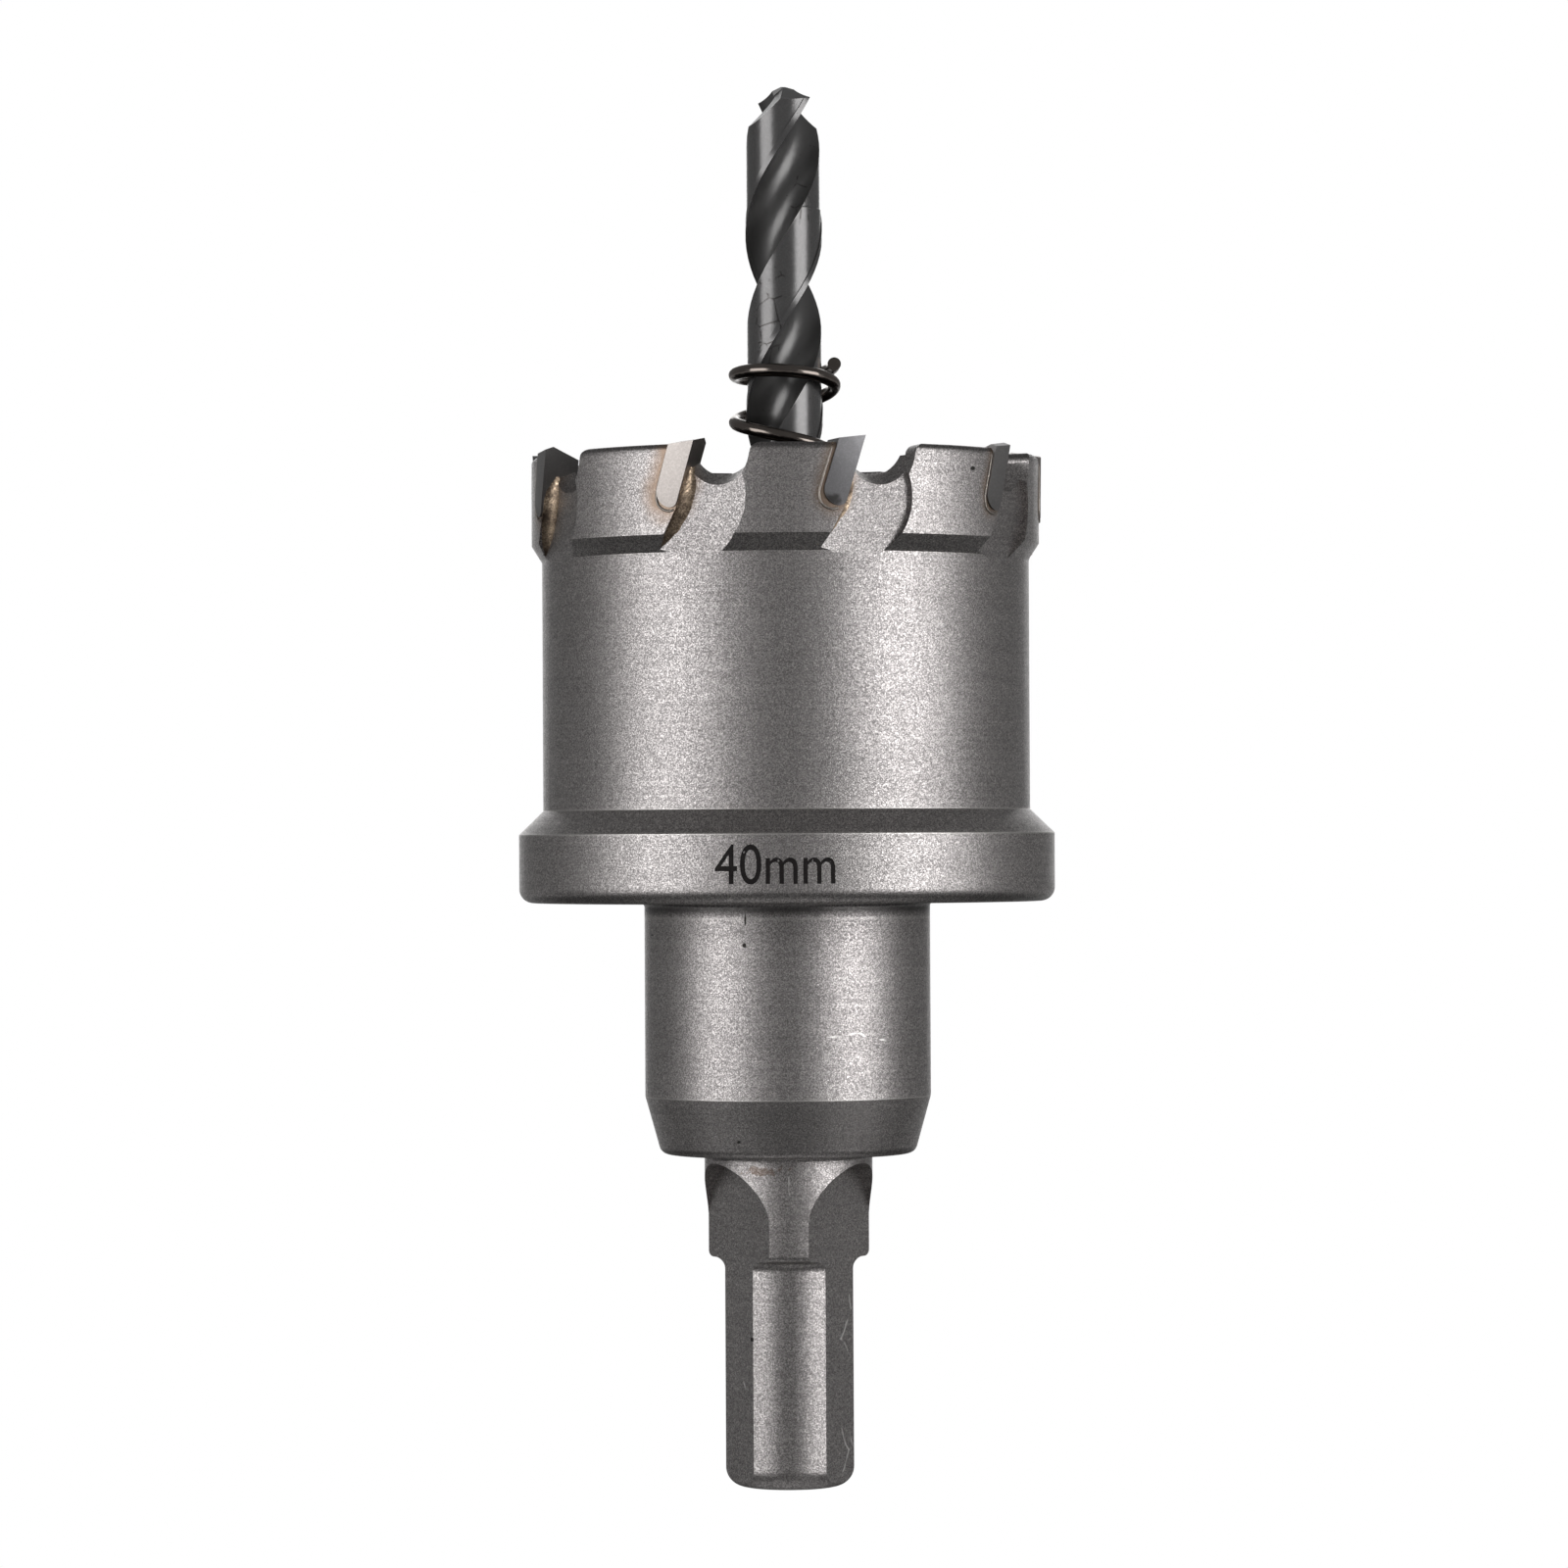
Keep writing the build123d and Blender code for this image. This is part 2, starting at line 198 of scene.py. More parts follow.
bpy.ops.mesh.primitive_plane_add(size=floor_size, location=(0, 0, cad_box[0].z - floor_drop))
floor = bpy.context.object
floor.name = "floor"
paint, tree, surface = start_finish("floor paint", metallic=0.0)
surface.inputs["Roughness"].default_value = floor_roughness
off = axis_distance(tree)
ray = add_node(tree, "LightPath")
seen = maths(tree, "MAXIMUM", ray.outputs["Is Camera Ray"], ray.outputs["Is Transmission Ray"])
unseen = maths(tree, "SUBTRACT", 1.0, seen)
inner_edge = ramp(tree, off, table_from, table_full, smooth=True)
outer_edge = ramp(tree, off, table_gone, table_ends, smooth=True)
table = maths(tree, "MULTIPLY", inner_edge, outer_edge)
ground = tint(tree, floor_white, table_dark, maths(tree, "MULTIPLY", table, unseen))
tree.links.new(ground, surface.inputs["Base Color"])
far = ramp(tree, off, shadow_from, shadow_to, smooth=True)
glow = add_node(tree, "Emission", {"Color": white, "Strength": 1.0})
blend = add_node(tree, "MixShader", {
    0: maths(tree, "MULTIPLY", far, seen), 1: surface.outputs["BSDF"], 2: glow.outputs["Emission"],
})
tree.links.new(blend.outputs["Shader"], tree.nodes["Material Output"].inputs["Surface"])
floor.data.materials.append(paint)


# Cutter body
# The cup, the flange, the hub and the shank are one piece of steel, turned, milled and then
# blasted to an even satin grey, which handling and brazing have marked here and there.
def start_group(name, inputs, outputs):
    """A node group for an effect that several finishes share, with its input and output nodes."""
    group = bpy.data.node_groups.new(name, "ShaderNodeTree")
    for socket, kind, value in inputs:
        added = group.interface.new_socket(socket, in_out="INPUT", socket_type=kind)
        added.default_value = value
    for socket, kind in outputs:
        group.interface.new_socket(socket, in_out="OUTPUT", socket_type=kind)
    return group, group.nodes.new("NodeGroupInput"), group.nodes.new("NodeGroupOutput")


def add_group(tree, group, inputs):
    """Places a node group in a material."""
    node = tree.nodes.new("ShaderNodeGroup")
    node.node_tree = group
    fill_inputs(tree, node, inputs)
    return node


def scale(tree, vector, factor):
    """A vector or a colour times a number."""
    inputs = {0: vector, "Scale": factor}
    return add_node(tree, "VectorMath", inputs, operation="SCALE").outputs["Vector"]


# A noise runs round its middle, and seldom leaves the band from its low to its high value
noise_low = 0.3
noise_middle = 0.5
noise_high = 0.7

# Blasting grain: pits of uneven size, with painted glints where facets would face the light. Of
# the facets' random values few come out high, and these are painted bright as glints, while the
# many low ones are painted a little dark as shade.
gleam_rarity = 2.0
gleam_from = 0.5
pit_shade = -0.38
pit_gleam = 0.5

grain, start, end = start_group(
    "blasting grain",
    [("Pits per metre", "NodeSocketFloat", 5000.0)],
    [("Height", "NodeSocketFloat"), ("Sparkle", "NodeSocketFloat")],
)
place = add_node(grain, "TexCoord").outputs["Object"]
pits = add_node(grain, "TexNoise", {
    "Vector": place, "Scale": start.outputs["Pits per metre"], "Detail": 2.0, "Roughness": 0.6,
})
facets = add_node(grain, "TexVoronoi", {"Vector": place, "Scale": start.outputs["Pits per metre"]})
rare = maths(grain, "POWER", facets.outputs["Color"], gleam_rarity)
painted_glint_and_shade = ramp(grain, rare, 0.0, gleam_from, pit_shade, pit_gleam, clamp=False)
grain.links.new(pits.outputs["Fac"], end.inputs["Height"])
grain.links.new(painted_glint_and_shade, end.inputs["Sparkle"])


# Cloudiness: broad soft patches where the finish is a little darker or lighter
clouds, start, end = start_group(
    "cloudy patches",
    [("Patches per metre", "NodeSocketFloat", 120.0), ("Contrast", "NodeSocketFloat", 1.0)],
    [("Value", "NodeSocketFloat")],
)
place = add_node(clouds, "TexCoord").outputs["Object"]
patches = add_node(clouds, "TexNoise", {
    "Vector": place, "Scale": start.outputs["Patches per metre"], "Detail": 4.0,
})
centred = maths(clouds, "SUBTRACT", patches.outputs["Fac"], noise_middle)
scaled = maths(clouds, "MULTIPLY", centred, start.outputs["Contrast"])
clouds.links.new(scaled, end.inputs["Value"])


# Stain: a patch with a ragged edge round a point
tatters_per_metre = 1800.0
tatter_reach = 0.5
stain_edge = 1.0
stain_heart = 0.45

stain, start, end = start_group(
    "stain",
    [
        ("Middle", "NodeSocketVector", (0, 0, 0)),
        ("Reach", "NodeSocketVector", (0.001, 0.001, 0.001)),
        ("Ragged", "NodeSocketFloat", 0.8),
    ],
    [("Mask", "NodeSocketFloat")],
)
place = add_node(stain, "TexCoord").outputs["Object"]
apart = vector_maths(stain, "SUBTRACT", place, start.outputs["Middle"])
share = vector_maths(stain, "DIVIDE", apart, start.outputs["Reach"])
off = vector_maths(stain, "LENGTH", share)
tatters = add_node(stain, "TexNoise", {"Vector": place, "Scale": tatters_per_metre, "Detail": 3.0})
shift = ramp(stain, tatters.outputs["Fac"], noise_low, noise_high, -tatter_reach, tatter_reach)
uneven = maths(stain, "MULTIPLY_ADD", shift, start.outputs["Ragged"], off)
stain.links.new(ramp(stain, uneven, stain_edge, stain_heart, smooth=True), end.inputs["Mask"])


# Scratch: a thin line between two points that wavers a little
wavers_per_metre = 500.0
waver_reach = 0.0008

scratch, start, end = start_group(
    "scratch",
    [
        ("From", "NodeSocketVector", (0, 0, 0)),
        ("To", "NodeSocketVector", (0, 0, 0.001)),
        ("Width", "NodeSocketFloat", 0.0001),
    ],
    [("Mask", "NodeSocketFloat")],
)
place = add_node(scratch, "TexCoord").outputs["Object"]
waver = add_node(scratch, "TexNoise", {"Vector": place, "Scale": wavers_per_metre, "Detail": 2.0})
lean = vector_maths(scratch, "SUBTRACT", waver.outputs["Color"], (noise_middle,) * 3)
wavered = vector_maths(scratch, "MULTIPLY_ADD", lean, (waver_reach,) * 3, place)
along = vector_maths(scratch, "SUBTRACT", start.outputs["To"], start.outputs["From"])
apart = vector_maths(scratch, "SUBTRACT", wavered, start.outputs["From"])
across = vector_maths(scratch, "DOT_PRODUCT", apart, along)
whole = vector_maths(scratch, "DOT_PRODUCT", along, along)
reached = maths(scratch, "DIVIDE", across, whole, clamp=True)
gap = vector_maths(scratch, "DISTANCE", apart, scale(scratch, along, reached))
mask = ramp(scratch, gap, start.outputs["Width"], 0.0, smooth=True)
scratch.links.new(mask, end.inputs["Mask"])


# Ring: a thin line round the saw at one height
ring, start, end = start_group(
    "ring",
    [
        ("Height", "NodeSocketFloat", 0.0),
        ("Width", "NodeSocketFloat", 0.0002),
        ("Strength", "NodeSocketFloat", 1.0),
    ],
    [("Mask", "NodeSocketFloat")],
)
place = add_node(ring, "TexCoord").outputs["Object"]
axes = add_node(ring, "SeparateXYZ", {"Vector": place})
above = maths(ring, "SUBTRACT", axes.outputs["Z"], start.outputs["Height"])
gap = maths(ring, "ABSOLUTE", above)
mask = ramp(
    ring, gap, start.outputs["Width"], 0.0, at_high=start.outputs["Strength"], smooth=True,
)
ring.links.new(mask, end.inputs["Mask"])


def add_up(tree, masks):
    """Joins several masks into one, which is nowhere more than 1."""
    total = masks[0]
    for mask in masks[1:]:
        total = maths(tree, "ADD", total, mask, clamp=True)
    return total


def add_marks(tree, group, marks):
    """Places a group once for each mark, which lists the group's inputs in order, and joins the
    masks."""
    placed = [add_group(tree, group, dict(enumerate(mark))) for mark in marks]
    return add_up(tree, [node.outputs["Mask"] for node in placed])


# On every bare metal: its cloudy patches, how much smoother a gleaming pit is, and how strongly
# the grain stands out
patches_per_metre = 140.0
cloudiness = 0.25
pit_polish = 0.1
bump_strength = 0.5


def steel_finish(name, colour, roughness, pits, grain_height, sparkle_strength, metallic=1.0):
    """A bare metal with a blasted grain and cloudy patches. Returns the material, its tree and the
    sockets of its colour and roughness, for the marks that a piece adds."""
    material, tree, shader = start_finish(name, metallic)
    grained = add_group(tree, grain, {"Pits per metre": pits})
    painted_glint_and_shade = grained.outputs["Sparkle"]
    cloudy = add_group(tree, clouds, {
        "Patches per metre": patches_per_metre, "Contrast": cloudiness,
    }).outputs["Value"]
    # The grain's painted glints, and the painted shade of its low facets, go into the colour
    level = maths(tree, "MULTIPLY_ADD", painted_glint_and_shade, sparkle_strength, cloudy)
    shade = scale(tree, colour, maths(tree, "ADD", level, 1.0))
    rough = maths(tree, "MULTIPLY_ADD", painted_glint_and_shade, -pit_polish * sparkle_strength, roughness)
    bump = add_node(tree, "Bump", {
        "Height": grained.outputs["Height"], "Strength": bump_strength, "Distance": grain_height,
    })
    tree.links.new(bump.outputs["Normal"], shader.inputs["Normal"])
    return material, tree, shade, rough


def dress(piece, material, shade, rough):
    """Gives a piece its material, with these sockets as its colour and roughness."""
    tree = material.node_tree
    shader = tree.nodes["Principled BSDF"]
    tree.links.new(shade, shader.inputs["Base Color"])
    tree.links.new(rough, shader.inputs["Roughness"])
    piece.data.materials.clear()
    piece.data.materials.append(material)


# Where the tips stand: turns round the rim, and the rake face that leans back from the corner
cutting_radius = 0.0200
tip_top = 0.0806
tip_lean = radians(17)
tip_width = 0.0019
tip_length = 0.0057
first_tip_turn = radians(-66.3)
tip_gaps = (46.5, 37.5, 42.0, 34.3, 44.0, 40.5, 44.8, 39.5)
tip_turns = [first_tip_turn + radians(sum(tip_gaps[:gap])) for gap in range(len(tip_gaps) + 1)]


def at_tip(turn, side, radius, level):
    """A point at this radius and level, to the side of the cutting corner of a tip at this turn."""
    return Matrix.Rotation(turn, 3, "Z") @ Vector((side, -sqrt(radius**2 - side**2), level))


def tip_middle(level):
    """How far the middle of a tip's outer face lies from its cutting corner at this level."""
    return -(tip_top - level) * tan(tip_lean) - tip_width / cos(tip_lean) / 2


# The heat and flux of brazing stain the steel brown round each tip, round some more than others
stain_radius = 0.0197
stain_top = 0.0797
stain_foot = 0.0762
stain_widths = (0.0026, 0.0028, 0.0023, 0.0020, 0.0023, 0.0025, 0.0021, 0.0024, 0.0025)
stain_strength = 1.7
stain_patches = 900.0
stain_patchiness = 2.0
stained_brown = (0.265, 0.2, 0.156, 1)

# Marks of handling, each with its middle, reach and raggedness: faint brown stains on the neck
# and the foot of the hub, and dark specks on the hub, the rim and the shank
brown = (0.12, 0.068, 0.038, 1)
brown_strength = 0.55
brown_marks = (
    ((-0.0018, -0.0062, 0.0248), (0.0015, 0.002, 0.0004), 1.8),
    ((-0.0110, -0.0010, 0.0270), (0.0004, 0.002, 0.0004), 0.8),
)
soot = (0.04, 0.037, 0.035, 1)
dark_specks = (
    ((-0.0033, -0.0107, 0.0423), (0.00020, 0.001, 0.00030), 0.8),
    ((-0.0032, -0.0107, 0.0441), (0.00010, 0.001, 0.0005), 0.8),
    ((-0.0038, -0.0098, 0.0272), (0.00022, 0.001, 0.00022), 0.8),
    ((0.0142, -0.0137, 0.0784), (0.00022, 0.001, 0.00016), 0.8),
    ((-0.0105, -0.0040, 0.0430), (0.00025, 0.001, 0.0001), 0.6),
    ((-0.0029, -0.0040, 0.0117), (0.00018, 0.001, 0.0002), 0.6),
)

# Scratches down to bare steel, each with its ends and width: on the hub, where a chuck has
# gripped the shank, and on the neck
bare = (0.9, 0.88, 0.86, 1)
scratches = (
    ((0.0030, -0.0107, 0.0352), (0.0052, -0.0099, 0.0355), 0.00010),
    ((0.0052, -0.0099, 0.0355), (0.0074, -0.0083, 0.0349), 0.00010),
    ((0.0045, -0.0012, 0.0128), (0.0040, -0.0021, 0.0116), 0.00017),
    ((0.0040, -0.0021, 0.0116), (0.0045, -0.0012, 0.0106), 0.00017),
    ((0.0047, -0.0009, 0.0148), (0.0048, -0.0006, 0.0137), 0.00015),
    ((0.0040, -0.0021, 0.0046), (0.0045, -0.0012, 0.0028), 0.00017),
    ((0.0045, -0.0012, 0.0028), (0.0041, -0.0020, 0.0014), 0.00017),
    ((0.0047, -0.0009, 0.0044), (0.0048, -0.0006, 0.0030), 0.00014),
    ((-0.0036, -0.0027, 0.0084), (-0.0034, -0.0032, 0.0079), 0.00014),
    ((-0.0033, -0.0034, 0.0045), (-0.0031, -0.0038, 0.0042), 0.00014),
    ((0.0001, -0.0066, 0.0243), (0.0001, -0.0066, 0.0229), 0.00010),
)

# Rings, each with its height, width and strength: painted highlights along edges, with a painted
# highlight line at the top of the hub, and painted shade at the rim's top and close under the
# flange
painted_highlight = (0.62, 0.6, 0.58, 1)
painted_highlight_rings = (
    (0.0508, 0.00016, 0.6),
    (0.05265, 0.00012, 0.6),
    (0.0304, 0.00012, 0.6),
    (0.0443, 0.0002, 0.3),
)
painted_shade = (0.07, 0.067, 0.066, 1)
painted_shade_rings = ((0.0799, 0.0006, 0.6), (0.0450, 0.0007, 0.9))

# Turning lines: fine rings left by the lathe, faint below the blasting
lines_per_metre = (60.0, 60.0, 4600.0)
line_contrast = 0.07

body_grey = (0.305, 0.289, 0.285)
body_steel, tree, shade, rough = steel_finish(
    "blasted steel", body_grey,
    roughness=0.4, pits=13000.0, grain_height=0.00004, sparkle_strength=1.0,
)
place = add_node(tree, "TexCoord").outputs["Object"]
stretched = vector_maths(tree, "MULTIPLY", place, lines_per_metre)
lines = add_node(tree, "TexNoise", {"Vector": stretched, "Scale": 1.0, "Detail": 1.0})
level = ramp(
    tree, lines.outputs["Fac"], noise_low, noise_high, 1.0 - line_contrast, 1.0 + line_contrast,
)
shade = scale(tree, shade, level)
# Painted highlights on the edges, and painted shade at the rim's top and under the flange
shade = tint(tree, shade, painted_highlight, add_marks(tree, ring, painted_highlight_rings))
shade = tint(tree, shade, painted_shade, add_marks(tree, ring, painted_shade_rings))

braze_mask = add_marks(tree, scratch, [
    (
        at_tip(turn, tip_middle(stain_top), stain_radius, stain_top),
        at_tip(turn, tip_middle(stain_foot), stain_radius, stain_foot),
        width,
    )
    for turn, width in zip(tip_turns, stain_widths)
])
patchy = add_group(tree, clouds, {
    "Patches per metre": stain_patches, "Contrast": stain_patchiness,
}).outputs["Value"]
strength = maths(tree, "ADD", patchy, stain_strength)
shade = tint(
    tree, shade, stained_brown, maths(tree, "MULTIPLY", braze_mask, strength, clamp=True),
)
brown_mask = add_marks(tree, stain, brown_marks)
shade = tint(tree, shade, brown, maths(tree, "MULTIPLY", brown_mask, brown_strength))
shade = tint(tree, shade, soot, add_marks(tree, stain, dark_specks))
shade = tint(tree, shade, bare, add_marks(tree, scratch, scratches))
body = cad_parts["cutter_body"]
dress(body, body_steel, shade, rough)


# Carbide tips
# Nine small bars of cemented carbide, ground on all sides, stand in leaning seats in the rim.
# Heat of the brazing has left each a little different in colour.
tip_greys = {
    "pink": (0.285, 0.262, 0.248),
    "blue": (0.215, 0.212, 0.219),
    "grey": (0.26, 0.252, 0.25),
}
tip_colours = ("grey", "pink", "blue", "grey", "pink", "blue", "grey", "pink", "blue")

# A tip is darker at its heel than at its edge
heel_level = 0.85
edge_level = 1.2

# Flux has burnt on beside the heel, on some tips more than on others
burn_side = -0.0028
burn_height = 0.0757
burn_reach = (0.0011, 0.0011, 0.0007)
burn_raggedness = 0.5
burn_strengths = (0.3, 0.0, 0.8, 0.1, 0.4, 0.2, 0.7, 0.1, 0.5)

for number, turn in enumerate(tip_turns):
    tip_name = f"carbide_tip_{number + 1}"
    tip_finish, tree, shade, rough = steel_finish(
        f"ground carbide {number + 1}", tip_greys[tip_colours[number]],
        roughness=0.38, pits=9000.0, grain_height=0.00001, sparkle_strength=0.12,
    )
    place = add_node(tree, "TexCoord").outputs["Object"]
    axes = add_node(tree, "SeparateXYZ", {"Vector": place})
    heel_to_edge_level = ramp(tree, axes.outputs["Z"], tip_top - tip_length, tip_top, heel_level, edge_level)
    burn = add_group(tree, stain, {
        "Middle": at_tip(turn, burn_side, cutting_radius, burn_height),
        "Reach": burn_reach,
        "Ragged": burn_raggedness,
    })
    burn_share = maths(tree, "MULTIPLY", burn.outputs["Mask"], burn_strengths[number])
    shade = tint(tree, scale(tree, shade, heel_to_edge_level), soot, burn_share)
    dress(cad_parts[tip_name], tip_finish, shade, rough)


# Braze
# The tips are brazed in with a copper alloy. It stands as a hollow run in the corner between
# each rake face and the scoop's floor, down to the scoop's foot, and as a thin bead round the
# outside of the seat.

# Where the run stands: on the scoop's floor, along the rake face and then along the scoop's
# leaning foot. It is sunk a little into all of them, so that no gap shows.
scoop_floor = 0.01885
sink = 0.00012
rake_foot_level = tip_top - tip_length * cos(tip_lean)
foot_lean = radians(28)

# Down the run: level, width over the scoop's floor, height over that floor
run_stations = (
    (0.07835, 0.00020, 0.00020),
    (0.07790, 0.00038, 0.00055),
    (0.07740, 0.00065, 0.00076),
    (0.07680, 0.00085, 0.00085),
    (0.07600, 0.00092, 0.00088),
    (0.07515, 0.00092, 0.00084),
    (0.07440, 0.00092, 0.00072),
    (0.07370, 0.00088, 0.00060),
    (0.07320, 0.00078, 0.00047),
    (0.07280, 0.00062, 0.00032),
    (0.07240, 0.00036, 0.00014),
)


def run_side(level):
    """Where the rake face, and below it the scoop's wall, lies at this level."""
    above = -(tip_top - max(level, rake_foot_level)) * tan(tip_lean)
    return above - max(rake_foot_level - level, 0) * tan(foot_lean)


# The run's section starts as a large square with its free corner bevelled hollow
hollow_reach = 0.86
hollow_segments = 6
hollow_profile = 0.12

bpy.ops.mesh.primitive_plane_add(size=1, location=(0.5, -0.5, 0))
braze_run = bpy.context.object
braze_run.name = "braze_run"
bpy.ops.object.transform_apply(location=True)
bpy.ops.object.mode_set(mode="EDIT")
bpy.ops.mesh.select_all(action="DESELECT")
bpy.ops.object.mode_set(mode="OBJECT")
for corner in braze_run.data.vertices:
    corner.select = corner.co.x > 0.5 and corner.co.y < -0.5
bpy.ops.object.mode_set(mode="EDIT")
bpy.ops.mesh.bevel(
    offset=hollow_reach, offset_type="OFFSET", affect="VERTICES",
    segments=hollow_segments, profile=hollow_profile,
)

# It is scaled to the first station, and drawn down from one station to the next
first_level, first_width, first_height = run_stations[0]
bpy.ops.mesh.select_all(action="SELECT")
bpy.ops.transform.resize(
    value=(first_width + sink, first_height + sink, 1), center_override=(0, 0, 0),
)
bpy.ops.transform.translate(
    value=(run_side(first_level) - sink, -scoop_floor + sink, first_level),
)
for here, below in zip(run_stations, run_stations[1:]):
    level, width, height = here
    next_level, next_width, next_height = below
    bpy.ops.mesh.extrude_region_move(TRANSFORM_OT_translate={
        "value": (run_side(next_level) - run_side(level), 0, next_level - level),
    })
    bpy.ops.transform.resize(
        value=((next_width + sink) / (width + sink), (next_height + sink) / (height + sink), 1),
        center_override=(run_side(next_level) - sink, -scoop_floor + sink, next_level),
    )
bpy.ops.mesh.select_all(action="SELECT")
bpy.ops.mesh.normals_make_consistent(inside=False)
bpy.ops.object.mode_set(mode="OBJECT")

# The bead follows the seat's outline, down its left side and round its foot, as (side, radius,
# level)
bead_radius = 0.00010
bead_line = (
    (-0.00209, 0.01950, 0.08000),
    (-0.00225, 0.01978, 0.07970),
    (-0.00262, 0.01982, 0.07850),
    (-0.00308, 0.01982, 0.07700),
    (-0.00328, 0.01982, 0.07620),
    (-0.00310, 0.01982, 0.07545),
    (-0.00260, 0.01982, 0.07510),
    (-0.00205, 0.01982, 0.07500),
    (-0.00180, 0.01976, 0.07512),
)
bpy.ops.curve.primitive_nurbs_path_add(location=(0, 0, 0))
bead = bpy.context.object
bead.name = "braze_bead"
spline = bead.data.splines[0]
spline.points.add(len(bead_line) - len(spline.points))
for point, (side, radius, level) in zip(spline.points, bead_line):
    point.co = (*at_tip(0, side, radius, level), 1)
spline.order_u = 3
spline.use_endpoint_u = True
bead.data.bevel_depth = bead_radius
bead.data.bevel_resolution = 2
bead.data.use_fill_caps = True
bpy.ops.object.convert(target="MESH")

# Run and bead are one piece, smooth but for the bead's ends and the run's outer edges
smooth_up_to = radians(50)

bpy.ops.object.select_all(action="DESELECT")
braze_run.select_set(True)
bead.select_set(True)
bpy.context.view_layer.objects.active = braze_run
bpy.ops.object.join()
bpy.ops.object.shade_smooth_by_angle(angle=smooth_up_to)

# Its colour runs from golden to nearly black where the flux has burnt, and the thin bead on the
# outside is pale
gold = (0.40, 0.31, 0.225)
burnt = (0.085, 0.062, 0.048, 1)
burnt_patches = 900.0
burnt_contrast = 2.4
burnt_level = 0.5
pale = (0.34, 0.305, 0.275, 1)
pale_from = 0.01974
pale_full = 0.01982

braze_metal, tree, shade, rough = steel_finish(
    "copper braze", gold,
    roughness=0.42, pits=9000.0, grain_height=0.00004, sparkle_strength=1.2,
)
cloudy = add_group(tree, clouds, {"Patches per metre": burnt_patches, "Contrast": burnt_contrast})
burnt_share = maths(tree, "ADD", cloudy.outputs["Value"], burnt_level, clamp=True)
shade = tint(tree, shade, burnt, burnt_share)
shade = tint(tree, shade, pale, ramp(tree, axis_distance(tree), pale_from, pale_full))
dress(braze_run, braze_metal, shade, rough)

# One run is modelled, at the front, and copied to each tip, where it sets a little differently
# and lies some way back in its corner, given in degrees round the saw
unevenness = 0.00003
run_sinks = (0.0, 0.0, 0.9, 0.4, 0.1, 0.6, 0.0, 0.5, 0.2)

for number, (turn, run_sink) in enumerate(zip(tip_turns, run_sinks), start=1):
    bpy.ops.object.select_all(action="DESELECT")
    braze_run.select_set(True)
    bpy.context.view_layer.objects.active = braze_run
    bpy.ops.object.duplicate(linked=False)
    braze = bpy.context.object
    braze.name = f"braze_{number}"
    bpy.ops.object.mode_set(mode="EDIT")
    bpy.ops.mesh.select_all(action="SELECT")
    bpy.ops.transform.vertex_random(offset=unevenness, seed=number)
    bpy.ops.object.mode_set(mode="OBJECT")
    braze.rotation_euler = (0, 0, turn - radians(run_sink))
    bpy.ops.object.transform_apply(location=False, rotation=True, scale=False)
    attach(braze, "root")
bpy.data.objects.remove(braze_run)


# Size mark
# The cup's cutting diameter, marked on the rim of the flange. It is a flat black skin, a few
# thousandths of a millimetre thick, that follows the round of the rim.

# Its sides, foot and top as seen from the front, and the place in front of the rim from which it
# is pressed on
mark_left = -0.0054
mark_right = 0.0036
mark_foot = 0.0470
mark_top = 0.0500
mark_start = -0.025
mark_skin = 0.000006
mark_cut = 0.0005
mark_boldness = 0.001
mark_width = mark_right - mark_left
mark_height = mark_top - mark_foot

bpy.ops.object.text_add(location=(0, 0, 0))
mark = bpy.context.object
mark.name = "size_mark"
mark.data.body = "40mm"
mark.data.resolution_u = 6
mark.data.offset = mark_boldness
bpy.ops.object.convert(target="MESH")
lowest = Vector(mark.bound_box[0])
highest = Vector(mark.bound_box[6])
mark.scale = (mark_width / (highest.x - lowest.x), mark_height / (highest.y - lowest.y), 1)
mark.rotation_euler = (radians(90), 0, 0)
mark.location = (
    mark_left - lowest.x * mark.scale.x, mark_start, mark_foot - lowest.y * mark.scale.y,
)
bpy.ops.object.transform_apply(location=True, rotation=True, scale=True)

# The letters are cut into upright strips, which bend round the rim when they are pressed on it
bpy.ops.object.mode_set(mode="EDIT")
for cut in range(1, round(mark_width / mark_cut)):
    bpy.ops.mesh.select_all(action="SELECT")
    bpy.ops.mesh.bisect(plane_co=(mark_left + cut * mark_cut, 0, 0), plane_no=(1, 0, 0))
bpy.ops.mesh.select_all(action="SELECT")
bpy.ops.mesh.remove_doubles(threshold=0.000001)
bpy.ops.object.mode_set(mode="OBJECT")
wrap = mark.modifiers.new("wrap", "SHRINKWRAP")
wrap.target = body
wrap.wrap_method = "PROJECT"
wrap.use_project_y = True
wrap.offset = mark_skin
bpy.ops.object.modifier_apply(modifier="wrap")

pit_roughness = 0.2
mark_specular = 0.2
mark_black = (0.009, 0.007, 0.007)


def black_finish(name, colour, roughness, pits, sparkle_strength, metallic):
    """A flat black over the blasting, and the sockets of its colour and roughness."""
    material, tree, shader = start_finish(name, metallic)
    grained = add_group(tree, grain, {"Pits per metre": pits})
    # The grain's painted glints and painted shade go into the black as well
    level = maths(tree, "MULTIPLY_ADD", grained.outputs["Sparkle"], sparkle_strength, 1.0)
    rough = maths(tree, "MULTIPLY_ADD", grained.outputs["Height"], pit_roughness, roughness)
    return material, scale(tree, colour, level), rough


mark_paint, shade, rough = black_finish(
    "marking black", mark_black,
    roughness=0.5, pits=9500.0, sparkle_strength=0.8, metallic=0.0,
)
shader = mark_paint.node_tree.nodes["Principled BSDF"]
shader.inputs["Specular IOR Level"].default_value = mark_specular
dress(mark, mark_paint, shade, rough)
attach(mark, "root")


# Pilot drill
# A twist drill of dark ground high-speed steel. Its lands are polished bright, with hair cracks
# in their oxide, and its flutes are left black and duller by the wheel that ground them.

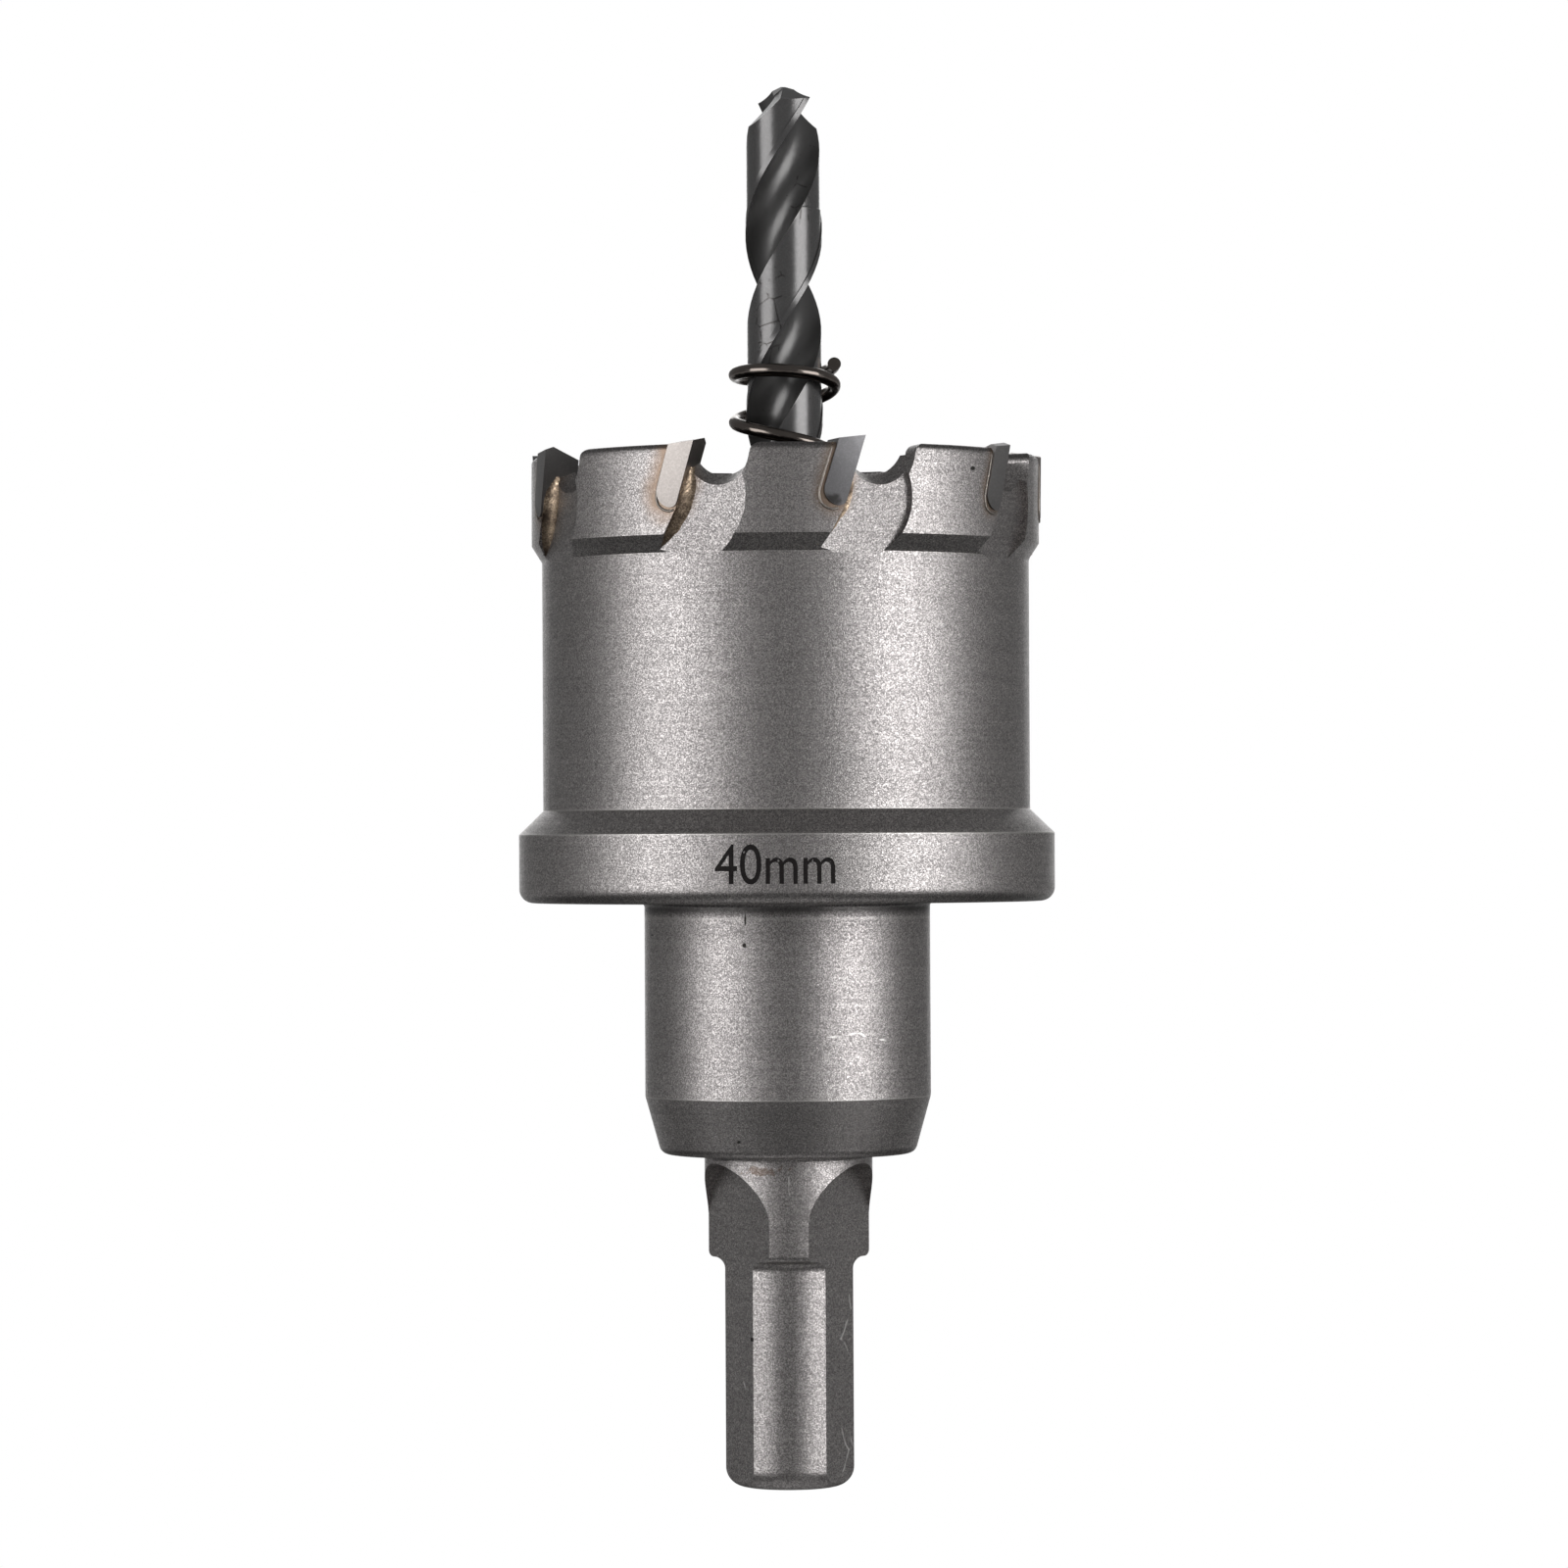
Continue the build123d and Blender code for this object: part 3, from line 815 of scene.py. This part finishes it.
# The finish of the lands gives way to that of the flutes between two distances from the axis
land_grey = (0.14, 0.137, 0.137)
land_roughness = 0.26
flute_black = (0.12, 0.118, 0.117, 1)
flute_roughness = 0.33
flute_from = 0.00283
flute_full = 0.00270
oxide_skin = 0.3

# Hair cracks run along the edges of cells, in patches that each have a middle, reach and
# raggedness. Small pits are scattered all over.
cracks_per_metre = 620.0
crack_width = 0.06
cracked = (
    ((-0.0010, -0.0028, 0.0905), (0.0014, 0.0030, 0.0045), 0.9),
    ((0.0012, -0.0027, 0.1010), (0.0010, 0.0030, 0.0030), 0.9),
    ((-0.0004, 0.0029, 0.0880), (0.0012, 0.0030, 0.0040), 0.9),
)
pits_per_metre = 1400.0
pit_width = 0.1

drill_finish, tree, shade, rough = steel_finish(
    "dark ground drill steel", land_grey,
    roughness=land_roughness, pits=9000.0, grain_height=0.000005, sparkle_strength=0.12,
    metallic=1.0 - oxide_skin,
)
in_flute = ramp(tree, axis_distance(tree), flute_from, flute_full, smooth=True)
place = add_node(tree, "TexCoord").outputs["Object"]
cells = add_node(tree, "TexVoronoi", {
    "Vector": place, "Scale": cracks_per_metre,
}, feature="DISTANCE_TO_EDGE")
crack = ramp(tree, cells.outputs["Distance"], crack_width, 0.0)
crack_share = maths(tree, "MULTIPLY", crack, add_marks(tree, stain, cracked))
holes = add_node(tree, "TexVoronoi", {"Vector": place, "Scale": pits_per_metre})
pit_share = ramp(tree, holes.outputs["Distance"], pit_width, 0.0)
shade = tint(tree, shade, flute_black, in_flute)
shade = tint(tree, shade, soot, add_up(tree, [crack_share, pit_share]))
rough = ramp(tree, in_flute, 0.0, 1.0, rough, flute_roughness)
dress(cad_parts["pilot_drill"], drill_finish, shade, rough)


# Ejector spring
# A left-hand coil of hard steel wire, wound round the drill to push the slug out of the cup. It
# is blackened and oiled, and the oil lies a little uneven on its glossy skin.
spring_black = (0.17, 0.148, 0.134)
spring_roughness = 0.17
oil_patches = 900.0
oil_contrast = 0.3

wire_finish, tree, shader = start_finish("black spring wire", metallic=1.0)
oil = add_group(tree, clouds, {
    "Patches per metre": oil_patches, "Contrast": oil_contrast,
}).outputs["Value"]
shade = scale(tree, spring_black, maths(tree, "ADD", oil, 1.0))
rough = maths(tree, "ADD", oil, spring_roughness)
dress(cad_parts["ejector_spring"], wire_finish, shade, rough)


# Grub screw
# A socket set screw of hard steel, black from its oxide bath. It sits in the back of the hub and
# holds the drill by its flat.
screw_black = (0.08, 0.08, 0.082)
screw_finish, shade, rough = black_finish(
    "black oxide", screw_black,
    roughness=0.3, pits=6000.0, sparkle_strength=0.4, metallic=1.0,
)
dress(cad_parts["grub_screw"], screw_finish, shade, rough)
